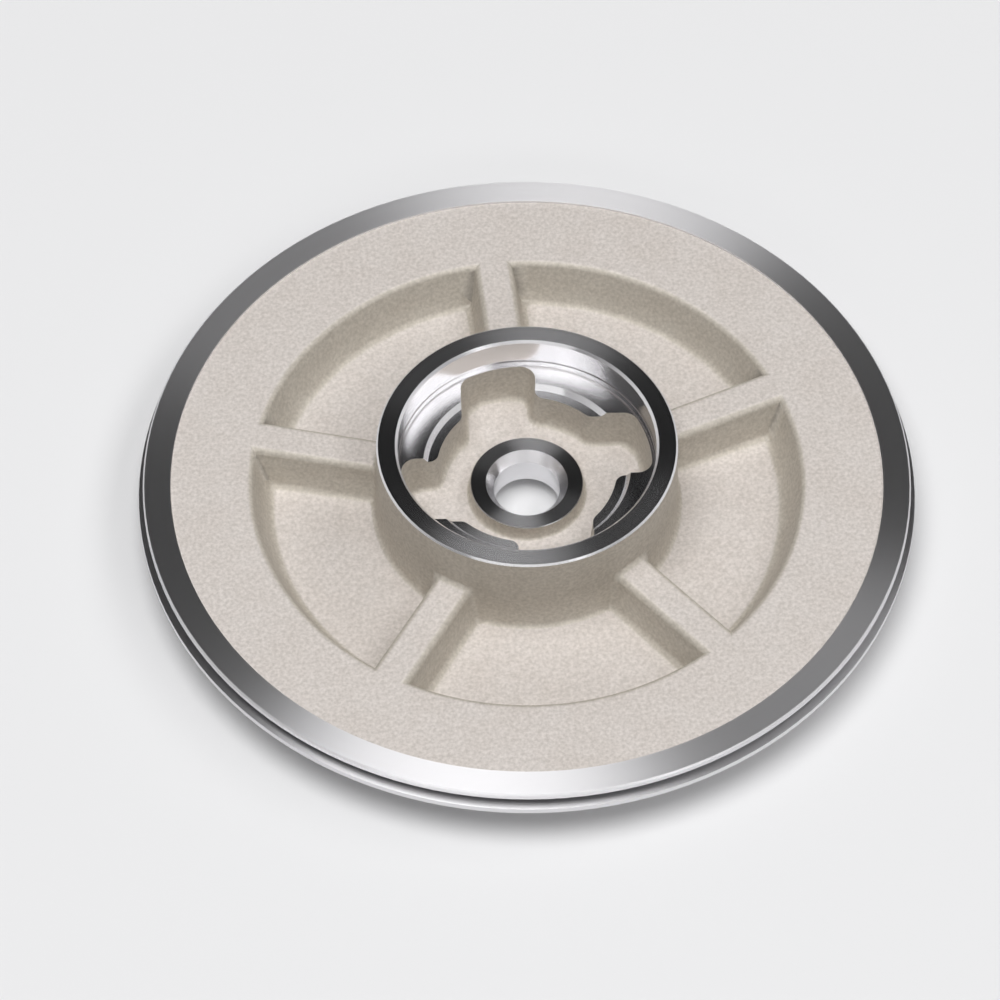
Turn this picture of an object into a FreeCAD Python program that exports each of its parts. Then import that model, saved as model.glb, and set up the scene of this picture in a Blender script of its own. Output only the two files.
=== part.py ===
import FreeCAD, Part
import math
import os
from FreeCAD import Vector

# Turbo seal plate: one aluminium casting, turned where it locates, seals and holds the shaft's seal ring.
# Millimetres, +Z up. The origin lies on the shaft axis in the plane that the plate stands on,
# and one of the ribs runs along +Y.

# Rim: a turned face, and a groove for a sealing cord above a wider lip
rim_radius = 75.0
rim_face_width = 5.4
rim_face_height = 13.0
rim_face_step = 0.5
rim_chamfer = 0.3
land_height = 1.0
groove_width = 2.1
groove_depth = 1.5
lip_overhang = 0.9
lip_height = 1.2

# Collar: the tall ring in the middle, cast outside and bored inside
collar_radius = 29.3
collar_rise = 10.3
collar_edge = 0.35
collar_draft = 1.0
cup_bore_radius = 25.15
cup_bore_chamfer = 0.5
cup_bore_depth = 7.0

# Relief cut just above the seat, and the lower ledge inside the seat
relief_gap = 0.7
relief_width = 0.6
relief_depth = 0.25
ledge_radius = 19.4
ledge_bevel = 0.9
ledge_drop = 1.0

# Cast cavity under the seat: a round middle and four slots that stand off to one side of the axis
cavity_radius = 17.6
cavity_draft = 3.0
cavity_floor_wall = 4.4
cavity_foot = 1.0
slot_count = 4
slot_width = 14.7
slot_offset = 5.3
slot_reach = 24.5
slot_draft = 5.0
slot_angle = 84.0
slot_corner = 3.0
slot_neck = 2.0

# Boss that holds the seal ring round the shaft
boss_radius = 11.1
boss_rise = 3.4
boss_draft = 3.0
boss_foot = 0.6
boss_break = 0.15
shaft_bore_radius = 6.5
lead_in_width = 1.55
lead_in_depth = 2.1
bore_exit_chamfer = 0.4

# Cast pockets between the ribs
rib_count = 5
rib_width = 7.2
rib_draft = 9.5
pocket_radius = 53.9
pocket_draft = 23.0
pocket_floor_wall = 4.0
pocket_foot = 1.2
pocket_round = 1.5
rib_root = 1.0

# Underside: a wall outside the pockets, and a shallow turned recess round the shaft bore
side_wall = 4.3
under_rim_bevel = 1.6
foot_edge = 0.8
recess_radius = 22.5
recess_depth = 3.0

# Room that a cutting shape gets beyond the metal
clear = 1.0

# Heights that follow from the sizes above
cast_height = rim_face_height - rim_face_step
land_bottom = rim_face_height - rim_chamfer - land_height
lip_top = land_bottom - groove_width
rim_bottom = lip_top - lip_height
pocket_floor = pocket_floor_wall
collar_top = rim_face_height + collar_rise
seat_height = collar_top - cup_bore_depth
ledge_height = seat_height - ledge_drop
cavity_floor = recess_depth + cavity_floor_wall
boss_top = cavity_floor + boss_rise


def run_of(draft, height):
    """How far a drafted wall leans over a height."""
    return height * math.tan(math.radians(draft))


def collar_wall_radius(height):
    """The collar's outer radius, which its draft makes larger towards the foot."""
    return collar_radius + run_of(collar_draft, collar_top - height)


# Radii that follow from the sizes above
pocket_foot_radius = pocket_radius - run_of(pocket_draft, cast_height - pocket_floor)
body_foot_radius = pocket_radius + side_wall - run_of(pocket_draft, cast_height)


def body_wall_radius(height):
    """The radius of the drafted wall under the rim, which runs parallel to the pockets' outer walls."""
    return body_foot_radius + run_of(pocket_draft, height)


def turned(corners):
    """The solid that an outline of (radius, height) corners sweeps in one turn round the shaft axis."""
    points = [Vector(0, radius, height) for radius, height in corners]
    outline = Part.makePolygon(points + points[:1])
    return Part.Face(outline).revolve(Vector(0, 0, 0), Vector(0, 0, 1), 360)


def about_axis(shape, angle):
    """A copy of a shape, turned round the shaft axis."""
    copy = shape.copy()
    copy.rotate(Vector(0, 0, 0), Vector(0, 0, 1), angle)
    return copy


def edges_where(shape, chosen):
    """The edges of a shape whose middle point passes a test."""
    found = []
    for edge in shape.Edges:
        middle = edge.valueAt((edge.FirstParameter + edge.LastParameter) / 2)
        if chosen(edge, middle):
            found.append(edge)
    return found


def is_level(edge, height):
    """Whether an edge lies flat at a height."""
    low = edge.BoundBox.ZMin
    high = edge.BoundBox.ZMax
    return abs(low - height) < 1e-4 and abs(high - height) < 1e-4


def drafted_bar(width, draft, mouth_height, floor_height, top_height, length, offset):
    """A bar along +X whose sides lean in or out from its width at the mouth height."""
    def half_width(height):
        return width / 2 + run_of(draft, height - mouth_height)

    section = Part.makePolygon([
        Vector(0, offset - half_width(floor_height), floor_height),
        Vector(0, offset + half_width(floor_height), floor_height),
        Vector(0, offset + half_width(top_height), top_height),
        Vector(0, offset - half_width(top_height), top_height),
        Vector(0, offset - half_width(floor_height), floor_height),
    ])
    return Part.Face(section).extrude(Vector(length, 0, 0))


def flange():
    """The turned flange: underside, rim with its cord groove, and the level top that the ribs share."""
    groove_floor = rim_radius - groove_depth
    lip_radius = rim_radius + lip_overhang
    face_inner = rim_radius - rim_face_width
    return turned([
        (0, recess_depth),
        (recess_radius, recess_depth),
        (recess_radius, 0),
        (body_foot_radius - foot_edge, 0),
        (body_wall_radius(foot_edge), foot_edge),
        (body_wall_radius(rim_bottom - under_rim_bevel), rim_bottom - under_rim_bevel),
        (body_wall_radius(rim_bottom) + under_rim_bevel, rim_bottom),
        (lip_radius, rim_bottom),
        (lip_radius, lip_top),
        (groove_floor, lip_top),
        (groove_floor, land_bottom),
        (rim_radius, land_bottom),
        (rim_radius, rim_face_height - rim_chamfer),
        (rim_radius - rim_chamfer, rim_face_height),
        (face_inner, rim_face_height),
        (face_inner, cast_height),
        (0, cast_height),
    ])


def collar():
    """The collar and the solid core inside it, with the bored cup, its relief, the seat and the ledge."""
    relief_bottom = seat_height + relief_gap
    relief_top = relief_bottom + relief_width
    foot_end = collar_wall_radius(pocket_floor) + pocket_foot
    foot_top = pocket_floor + pocket_foot
    return turned([
        (0, pocket_floor - clear),
        (foot_end, pocket_floor - clear),
        (foot_end, pocket_floor),
        (collar_wall_radius(foot_top), foot_top),
        (collar_wall_radius(collar_top - collar_edge), collar_top - collar_edge),
        (collar_radius - collar_edge, collar_top),
        (cup_bore_radius + cup_bore_chamfer, collar_top),
        (cup_bore_radius, collar_top - cup_bore_chamfer),
        (cup_bore_radius, relief_top),
        (cup_bore_radius + relief_depth, relief_top),
        (cup_bore_radius + relief_depth, relief_bottom),
        (cup_bore_radius, relief_bottom),
        (cup_bore_radius, seat_height),
        (ledge_radius + ledge_bevel, seat_height),
        (ledge_radius, ledge_height),
        (0, ledge_height),
    ])


def boss():
    """The drafted boss on the floor of the cavity."""
    return turned([
        (0, cavity_floor - clear),
        (boss_radius + run_of(boss_draft, boss_rise + clear), cavity_floor - clear),
        (boss_radius, boss_top - boss_break),
        (boss_radius - boss_break, boss_top),
        (0, boss_top),
    ])


def cavity():
    """The hollow that the casting core leaves: round middle and slots, with the boss left standing."""
    top = seat_height + clear
    depth = seat_height - cavity_floor
    middle_foot = cavity_radius - run_of(cavity_draft, ledge_height - cavity_floor)
    middle = turned([
        (0, cavity_floor),
        (middle_foot, cavity_floor),
        (middle_foot + run_of(cavity_draft, top - cavity_floor), top),
        (0, top),
    ])
    reach_foot = slot_reach - run_of(slot_draft, depth)
    reach = turned([
        (0, cavity_floor),
        (reach_foot, cavity_floor),
        (reach_foot + run_of(slot_draft, top - cavity_floor), top),
        (0, top),
    ])
    bar = drafted_bar(slot_width, slot_draft, seat_height, cavity_floor, top, 2 * slot_reach, slot_offset)
    slot = bar.common(reach)
    hollow = middle
    for index in range(slot_count):
        hollow = hollow.fuse(about_axis(slot, slot_angle + index * 360 / slot_count))
    hollow = hollow.removeSplitter()

    def slot_ends(edge, middle_point):
        upright = edge.BoundBox.ZLength > depth
        return upright and math.hypot(middle_point.x, middle_point.y) > (cavity_radius + slot_reach) / 2

    def slot_necks(edge, middle_point):
        upright = edge.BoundBox.ZLength > depth
        return upright and math.hypot(middle_point.x, middle_point.y) < (cavity_radius + slot_reach) / 2

    hollow = hollow.makeFillet(slot_corner, edges_where(hollow, slot_ends))
    hollow = hollow.makeFillet(slot_neck, edges_where(hollow, slot_necks))

    def floor_edge(edge, at):
        return is_level(edge, cavity_floor)

    hollow = hollow.makeChamfer(cavity_foot, edges_where(hollow, floor_edge))
    hollow = hollow.cut(boss())

    def boss_foot_edge(edge, at):
        return is_level(edge, cavity_floor) and math.hypot(at.x, at.y) < boss_radius + 2 * boss_foot

    return hollow.makeChamfer(boss_foot, edges_where(hollow, boss_foot_edge))


def shaft_bore():
    """The bore for the shaft's seal sleeve, with a long lead-in above and a small chamfer below."""
    return turned([
        (0, recess_depth - clear),
        (shaft_bore_radius + bore_exit_chamfer + clear, recess_depth - clear),
        (shaft_bore_radius, recess_depth + bore_exit_chamfer),
        (shaft_bore_radius, boss_top - lead_in_depth),
        (shaft_bore_radius + lead_in_width, boss_top),
        (shaft_bore_radius + lead_in_width, boss_top + clear),
        (0, boss_top + clear),
    ])


def pocket_tool():
    """The five sharp-cornered hollows between the ribs, as one shape. They run on under the collar."""
    top = cast_height + clear
    inner = cup_bore_radius
    ring = turned([
        (inner, pocket_floor),
        (pocket_foot_radius, pocket_floor),
        (pocket_foot_radius + run_of(pocket_draft, top - pocket_floor), top),
        (inner, top),
    ])
    rib_foot = pocket_floor - clear
    rib = drafted_bar(rib_width, -rib_draft, cast_height, rib_foot, top + clear, 2 * pocket_radius, 0)
    for index in range(rib_count):
        ring = ring.cut(about_axis(rib, 90 + index * 360 / rib_count))

    def foot(edge, at):
        return is_level(edge, pocket_floor) and math.hypot(at.x, at.y) > inner + clear

    hollows = [hollow.makeChamfer(pocket_foot, edges_where(hollow, foot)) for hollow in ring.Solids]
    return Part.makeCompound(hollows)


def seal_plate():
    """The flange with its pockets and rounded ribs, the collar, and the cavity and bore cut through."""
    plate = flange().cut(pocket_tool())

    def pocket_edge(edge, at):
        radius = math.hypot(at.x, at.y)
        return is_level(edge, cast_height) and cup_bore_radius + clear < radius < pocket_radius + clear

    plate = plate.makeFillet(pocket_round, edges_where(plate, pocket_edge))
    plate = plate.fuse(collar()).removeSplitter()

    def root_edge(edge, at):
        return is_level(edge, cast_height) and math.hypot(at.x, at.y) < collar_radius + rib_root

    plate = plate.makeChamfer(rib_root, edges_where(plate, root_edge))
    plate = plate.cut(cavity())
    return plate.cut(shaft_bore())


os.makedirs("parts", exist_ok=True)
seal_plate().exportStep("parts/seal_plate.step")
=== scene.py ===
import math

import bmesh
import bpy
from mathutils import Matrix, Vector


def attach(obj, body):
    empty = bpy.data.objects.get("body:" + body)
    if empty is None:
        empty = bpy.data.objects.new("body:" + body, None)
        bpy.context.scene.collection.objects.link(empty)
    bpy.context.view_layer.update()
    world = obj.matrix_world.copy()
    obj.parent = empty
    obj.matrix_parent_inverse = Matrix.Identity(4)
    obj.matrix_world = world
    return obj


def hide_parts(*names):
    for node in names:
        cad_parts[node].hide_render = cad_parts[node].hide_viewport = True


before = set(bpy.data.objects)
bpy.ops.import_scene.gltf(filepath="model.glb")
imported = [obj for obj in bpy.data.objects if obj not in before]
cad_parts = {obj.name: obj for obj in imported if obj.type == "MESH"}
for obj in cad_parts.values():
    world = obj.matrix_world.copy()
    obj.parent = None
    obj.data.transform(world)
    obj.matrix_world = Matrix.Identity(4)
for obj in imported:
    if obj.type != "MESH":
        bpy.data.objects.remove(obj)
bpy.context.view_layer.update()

MM = 0.001

# Sizes of the plate in millimetres, as its solid has them
rim_radius = 75.0
rim_inner = 69.6
rim_bottom = 8.4
groove_floor = 73.5
groove_bottom = 9.6
groove_top = 11.7
collar_top = 23.3
collar_edge = 0.35
cup_bore = 25.15
cup_mouth = 25.65
ledge_height = 15.3
boss_radius = 11.1
boss_top = 10.8
boss_break = 0.15
lead_in_radius = 8.05
recess_radius = 22.5
recess_depth = 3.0

# A facet's middle may lie this far from where its face is, in millimetres
slack = 0.05

# The plate's finishes, in the order of its material slots
CAST, FACE_TURNED, FINE_TURNED, BORED, PLUNGE_CUT_SHADED = range(5)

# A turned face meets its neighbour in a crisp edge where the two bend by more than this
crisp_bend = math.radians(20)

# The camera stands this many degrees to the left of the plate's -Y side
camera_turn = 7

# The lamps are so far off, in metres, that the whole plate sees them from one side
lamp_distance = 3.0


def linear(code):
    """An sRGB hex colour as the linear colour that shaders take."""
    parts = [int(code[i:i + 2], 16) / 255 for i in (1, 3, 5)]
    bent = [p / 12.92 if p <= 0.04045 else ((p + 0.055) / 1.055) ** 2.4 for p in parts]
    return (*bent, 1.0)


def add(owner, kind, settings=None, links=None):
    """Adds a node, sets its properties and inputs, and links inputs from other nodes' outputs."""
    node = owner.node_tree.nodes.new(kind)
    for name, value in (settings or {}).items():
        if isinstance(name, str) and hasattr(node, name):
            setattr(node, name, value)
        else:
            node.inputs[name].default_value = value
    for name, (source, output) in (links or {}).items():
        owner.node_tree.links.new(source.outputs[output], node.inputs[name])
    return node


def new_material(name):
    """An empty node material."""
    material = bpy.data.materials.new(name)
    material.use_nodes = True
    material.node_tree.nodes.clear()
    return material


def blasted_cast_aluminium():
    """Aluminium casting, sand-cast and shot-blasted.

    The flats, which the shot struck square, are a warm pale grey with a fine even grain. The steep
    walls carry painted shade: they are painted a little darker and more olive than the flats."""
    material = new_material("blasted cast aluminium")
    place = add(material, "ShaderNodeTexCoord")
    # Blasting marks are 0.3 to 0.5 mm across, drawn a little coarser so that they show
    grit = add(material, "ShaderNodeTexNoise",
               {"Scale": 1 / (0.7 * MM), "Detail": 2.0, "Roughness": 0.6},
               {"Vector": (place, "Object")})
    # The skin of the casting varies over 8 mm or so
    cloud = add(material, "ShaderNodeTexNoise",
                {"Scale": 1 / (8 * MM), "Detail": 2.0, "Roughness": 0.5},
                {"Vector": (place, "Object")})
    facing = add(material, "ShaderNodeSeparateXYZ", links={"Vector": (place, "Normal")})
    level = add(material, "ShaderNodeMath", {"operation": "ABSOLUTE"}, {0: (facing, "Z")})
    grit_colour = add(material, "ShaderNodeValToRGB", links={"Fac": (grit, "Fac")})
    cloud_colour = add(material, "ShaderNodeValToRGB", links={"Fac": (cloud, "Fac")})
    # Painted shade: faces steeper than about 25 degrees take a darker, more olive colour
    wall_shade_colour = add(material, "ShaderNodeValToRGB", links={"Fac": (level, "Value")})
    for ramp, low, low_colour, high, high_colour in (
            (grit_colour, 0.3, "#C2BBB5", 0.7, "#DBD4CF"),
            (cloud_colour, 0.3, "#FBFAF9", 0.7, "#FFFFFF"),
            (wall_shade_colour, 0.9, "#EDEDE6", 1.0, "#FFFFFF")):
        first, last = ramp.color_ramp.elements
        first.position, first.color = low, linear(low_colour)
        last.position, last.color = high, linear(high_colour)
    tint = {"data_type": "RGBA", "blend_type": "MULTIPLY", 0: 1.0}
    metal = add(material, "ShaderNodeMix", tint,
                {6: (grit_colour, "Color"), 7: (cloud_colour, "Color")})
    blasted = add(material, "ShaderNodeMix", tint, {6: (metal, 2), 7: (wall_shade_colour, "Color")})
    bump = add(material, "ShaderNodeBump", {"Strength": 0.5, "Distance": 0.04 * MM},
               {"Height": (grit, "Fac")})
    shader = add(material, "ShaderNodeBsdfPrincipled", {"Metallic": 0.2, "Roughness": 0.6},
                 {"Base Color": (blasted, 2), "Normal": (bump, "Normal")})
    add(material, "ShaderNodeOutputMaterial", links={"Surface": (shader, "BSDF")})
    return material


def turned_aluminium(name, roughness, streak, colour="#E4E3E5"):
    """Aluminium cut on a lathe: bright, with round tool marks that draw a highlight out across
    them. The streak is how far the roughness varies from ring to ring."""
    material = new_material(name)
    place = add(material, "ShaderNodeTexCoord")
    flat = add(material, "ShaderNodeVectorMath", {"operation": "MULTIPLY", 1: (1.0, 1.0, 0.0)},
               {0: (place, "Object")})
    along = add(material, "ShaderNodeVectorMath",
                {"operation": "CROSS_PRODUCT", 0: (0.0, 0.0, 1.0)}, {1: (flat, "Vector")})
    distance = add(material, "ShaderNodeVectorMath", {"operation": "LENGTH"},
                   {0: (flat, "Vector")})
    # The tool's feed is about 0.1 mm, too fine to show, so its rings are 0.4 mm apart and faint
    rings = add(material, "ShaderNodeTexNoise",
                {"noise_dimensions": "1D", "Scale": 1 / (0.4 * MM), "Detail": 2.0},
                {"W": (distance, "Value")})
    rough = add(material, "ShaderNodeMapRange",
                {"To Min": roughness - streak, "To Max": roughness + streak},
                {"Value": (rings, "Fac")})
    shader = add(material, "ShaderNodeBsdfPrincipled",
                 {"Base Color": linear(colour), "Metallic": 1.0, "Anisotropic": 0.9,
                  "Anisotropic Rotation": 0.25},
                 {"Roughness": (rough, "Result"), "Tangent": (along, "Vector")})
    add(material, "ShaderNodeOutputMaterial", links={"Surface": (shader, "BSDF")})
    return material


def finish_of(centre, normal):
    """The finish of a facet, from where its middle is and which way it faces."""
    radius = math.hypot(centre.x, centre.y) / MM
    height = centre.z / MM
    flat = abs(normal.z) > 0.9
    in_groove = groove_floor - 2 * slack < radius < rim_radius - 2 * slack
    # The groove's faces take the plunge-cut finish, whose dark colour is painted shade
    if in_groove and groove_bottom + slack < height < groove_top + slack:
        return PLUNGE_CUT_SHADED
    if radius > rim_inner - slack or flat and abs(height - rim_bottom) < slack:
        return FACE_TURNED
    if height > collar_top - collar_edge - slack and radius > cup_bore - slack:
        return FINE_TURNED
    if height > ledge_height - slack and radius < cup_mouth + slack:
        if radius > cup_bore - 4 * slack and not flat:
            return BORED
        return FINE_TURNED if normal.z > 0.4 else CAST
    if radius < boss_radius + slack and height > boss_top - boss_break - slack:
        return FINE_TURNED
    if radius < lead_in_radius + slack:
        return BORED
    in_recess = radius < recess_radius + 2 * slack and height < recess_depth + slack
    if in_recess or flat and height < slack:
        return FACE_TURNED
    return CAST


def plate_piece():
    """The plate: a merged copy of its solid's mesh, with a finish on each face."""
    shape = bmesh.new()
    shape.from_mesh(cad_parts["seal_plate"].data)
    bmesh.ops.remove_doubles(shape, verts=shape.verts, dist=0.002 * MM)
    for face in shape.faces:
        face.smooth = True
        face.material_index = finish_of(face.calc_center_median(), face.normal)
    for edge in shape.edges:
        if len(edge.link_faces) == 2:
            turned = any(face.material_index != CAST for face in edge.link_faces)
            edge.smooth = not (turned and edge.calc_face_angle(0) > crisp_bend)
    mesh = bpy.data.meshes.new("seal_plate_finished")
    shape.to_mesh(mesh)
    shape.free()
    # The grooving tool plunges straight in and leaves a dull cut; the groove's dark colour is
    # painted shade
    for material in (blasted_cast_aluminium(),
                     turned_aluminium("face-turned aluminium", 0.32, 0.03),
                     turned_aluminium("fine-turned aluminium", 0.2, 0.02),
                     turned_aluminium("bored aluminium", 0.2, 0.03),
                     turned_aluminium("shaded plunge-cut aluminium", 0.45, 0.05, "#6E6D70")):
        mesh.materials.append(material)
    piece = bpy.data.objects.new("seal_plate_finished", mesh)
    bpy.context.scene.collection.objects.link(piece)
    shading = piece.modifiers.new("even shading", "WEIGHTED_NORMAL")
    shading.keep_sharp = True
    shading.weight = 100
    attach(piece, "root")
    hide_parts("seal_plate")


def table_piece():
    """A wide table top in matte white laminate, which the plate stands on."""
    material = new_material("matte white laminate")
    board = add(material, "ShaderNodeBsdfPrincipled",
                {"Base Color": linear("#E8E8E9"), "Roughness": 0.6, "Specular IOR Level": 0.2})
    glow = add(material, "ShaderNodeEmission", {"Color": linear("#E8E8E9"), "Strength": 1.0})
    # Eye and metal see a tenth of the table's light as its own, which lifts the shadow on it
    rays = add(material, "ShaderNodeLightPath")
    seen = add(material, "ShaderNodeMath", {"operation": "MAXIMUM"},
               {0: (rays, "Is Camera Ray"), 1: (rays, "Is Glossy Ray")})
    share = add(material, "ShaderNodeMath", {"operation": "MULTIPLY", 1: 0.1},
                {0: (seen, "Value")})
    shader = add(material, "ShaderNodeMixShader",
                 links={0: (share, "Value"), 1: (board, "BSDF"), 2: (glow, "Emission")})
    add(material, "ShaderNodeOutputMaterial", links={"Surface": (shader, "Shader")})
    shape = bmesh.new()
    bmesh.ops.create_grid(shape, x_segments=1, y_segments=1, size=3.0)
    mesh = bpy.data.meshes.new("table")
    shape.to_mesh(mesh)
    shape.free()
    mesh.materials.append(material)
    table = bpy.data.objects.new("table", mesh)
    bpy.context.scene.collection.objects.link(table)


def softbox(name, azimuth, elevation, shape, width, depth, power):
    """A lamp that faces the plate; its azimuth counts in degrees from the camera's right hand."""
    turn = math.radians(azimuth - camera_turn)
    rise = math.radians(elevation)
    place = lamp_distance * Vector((math.cos(rise) * math.cos(turn),
                                    math.cos(rise) * math.sin(turn), math.sin(rise)))
    lamp = bpy.data.lights.new(name, "AREA")
    lamp.shape = shape
    lamp.size = width
    lamp.size_y = depth
    lamp.energy = power
    holder = bpy.data.objects.new(name, lamp)
    holder.location = place
    holder.rotation_euler = (-place).to_track_quat("-Z", "Y").to_euler()
    bpy.context.scene.collection.objects.link(holder)


def light_the_room():
    """A round softbox overhead, dim panels at the right and in front, pale walls, dark ceiling."""
    softbox("overhead", 224.5, 80.7, "DISK", 2.31, 2.31, 77)
    softbox("right panel", -10, 55, "RECTANGLE", 3.6, 1.02, 31)
    softbox("front panel", -90, 35, "RECTANGLE", 3.6, 0.5, 8.4)
    world = bpy.data.worlds.new("room")
    world.use_nodes = True
    world.node_tree.nodes.clear()
    # Eye and metal see white walls, which light the plate only weakly
    rays = add(world, "ShaderNodeLightPath")
    direct = add(world, "ShaderNodeMath", {"operation": "MAXIMUM"},
                 {0: (rays, "Is Camera Ray"), 1: (rays, "Is Transmission Ray")})
    seen = add(world, "ShaderNodeMath", {"operation": "MAXIMUM"},
               {0: (direct, "Value"), 1: (rays, "Is Glossy Ray")})
    walls = add(world, "ShaderNodeMapRange", {"To Min": 0.03, "To Max": 0.9},
                {"Value": (seen, "Value")})
    # The walls end 25 to 31 degrees above the plate, and the ceiling over them is dark
    place = add(world, "ShaderNodeTexCoord")
    split = add(world, "ShaderNodeSeparateXYZ", links={"Vector": (place, "Generated")})
    light = add(world, "ShaderNodeMapRange",
                {"From Min": math.sin(math.radians(25)), "From Max": math.sin(math.radians(31)),
                 "To Max": 0.015},
                {"Value": (split, "Z"), "To Min": (walls, "Result")})
    background = add(world, "ShaderNodeBackground", {"Color": linear("#FFFFFF")},
                     {"Strength": (light, "Result")})
    add(world, "ShaderNodeOutputWorld", links={"Surface": (background, "Background")})
    bpy.context.scene.world = world


def set_camera():
    """A long lens, looking down on the cup's side from 53 degrees above the table."""
    lens = bpy.data.cameras.new("camera")
    lens.sensor_width = 36
    lens.lens = 205.2
    lens.clip_end = 20
    camera = bpy.data.objects.new("camera", lens)
    camera.location = (-86.7 * MM, -663.1 * MM, 903.2 * MM)
    camera.rotation_euler = (math.radians(90 - 53.33), 0, math.radians(-camera_turn))
    bpy.context.scene.collection.objects.link(camera)
    bpy.context.scene.camera = camera


plate_piece()
table_piece()
light_the_room()
set_camera()
bpy.context.scene.view_settings.view_transform = "Standard"
